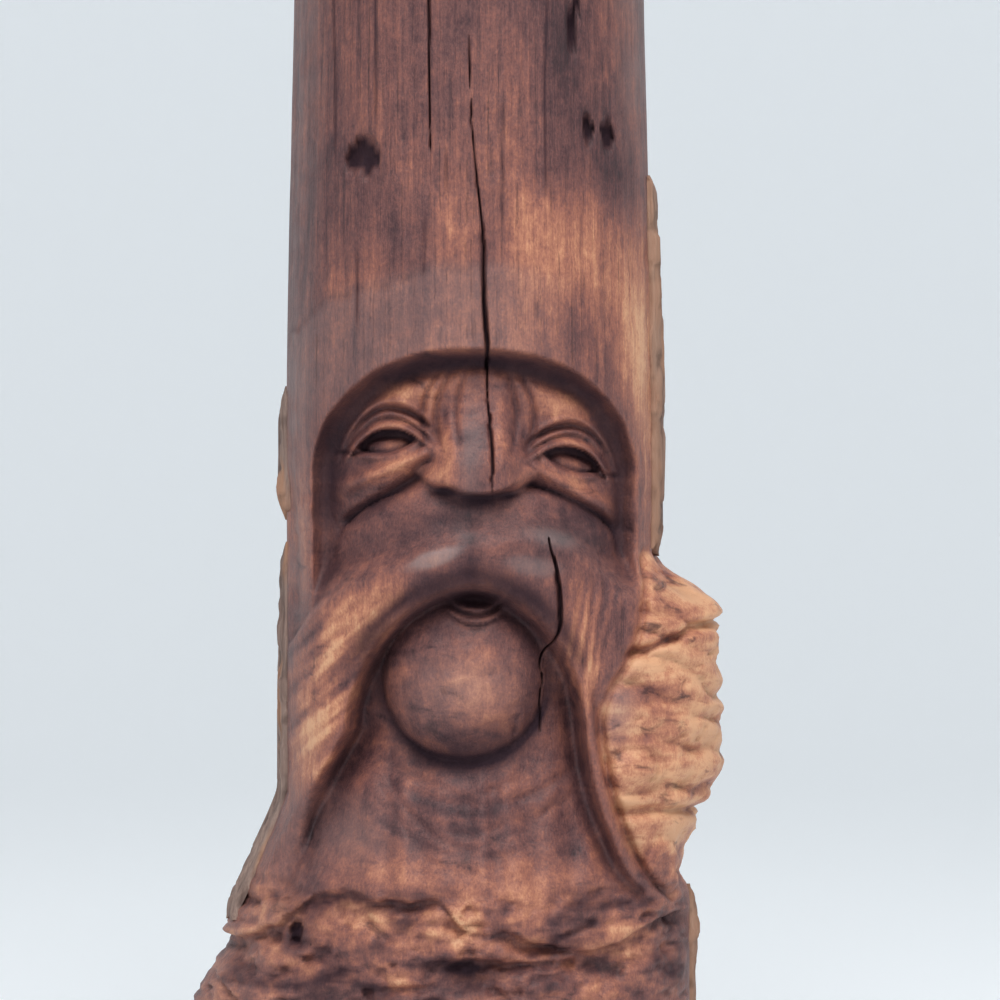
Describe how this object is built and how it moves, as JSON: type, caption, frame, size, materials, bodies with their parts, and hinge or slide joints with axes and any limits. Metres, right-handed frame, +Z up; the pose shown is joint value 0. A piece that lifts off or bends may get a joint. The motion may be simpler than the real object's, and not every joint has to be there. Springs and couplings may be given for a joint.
{
  "type": "carved wooden log figure",
  "caption": "Standing sawn log carved in relief with a hooded old man's face, sweeping moustache, round chin and beard; bark left on its sides and back.",
  "frame": {"origin": "where the log's pith meets its sawn base", "axes": "+Z up along the log to its sawn crown, -Y out of the figure's face, +X to the right of someone who looks at the face"},
  "size_m": [0.157, 0.0965, 0.406],
  "materials": {
    "heartwood": "oiled reddish-brown heartwood, satin, worn orange on the high spots and dark in the hollows",
    "dead_knot": "dry, nearly black, rough",
    "bark": "weathered grey-brown inner bark, matt and fissured"
  },
  "bodies": {
    "root": {"carved_log": "heartwood", "left_crown_knot": "dead_knot", "right_crown_inner_knot": "dead_knot", "right_crown_outer_knot": "dead_knot", "root_knot": "dead_knot", "right_side_bark": "bark", "right_butt_bark": "bark", "left_cheek_bark": "bark", "left_side_bark": "bark", "back_right_root_bark": "bark", "back_right_middle_bark": "bark", "back_right_crown_bark": "bark", "back_left_root_bark": "bark", "back_left_middle_bark": "bark", "back_left_crown_bark": "bark"}
  },
  "joints": []
}
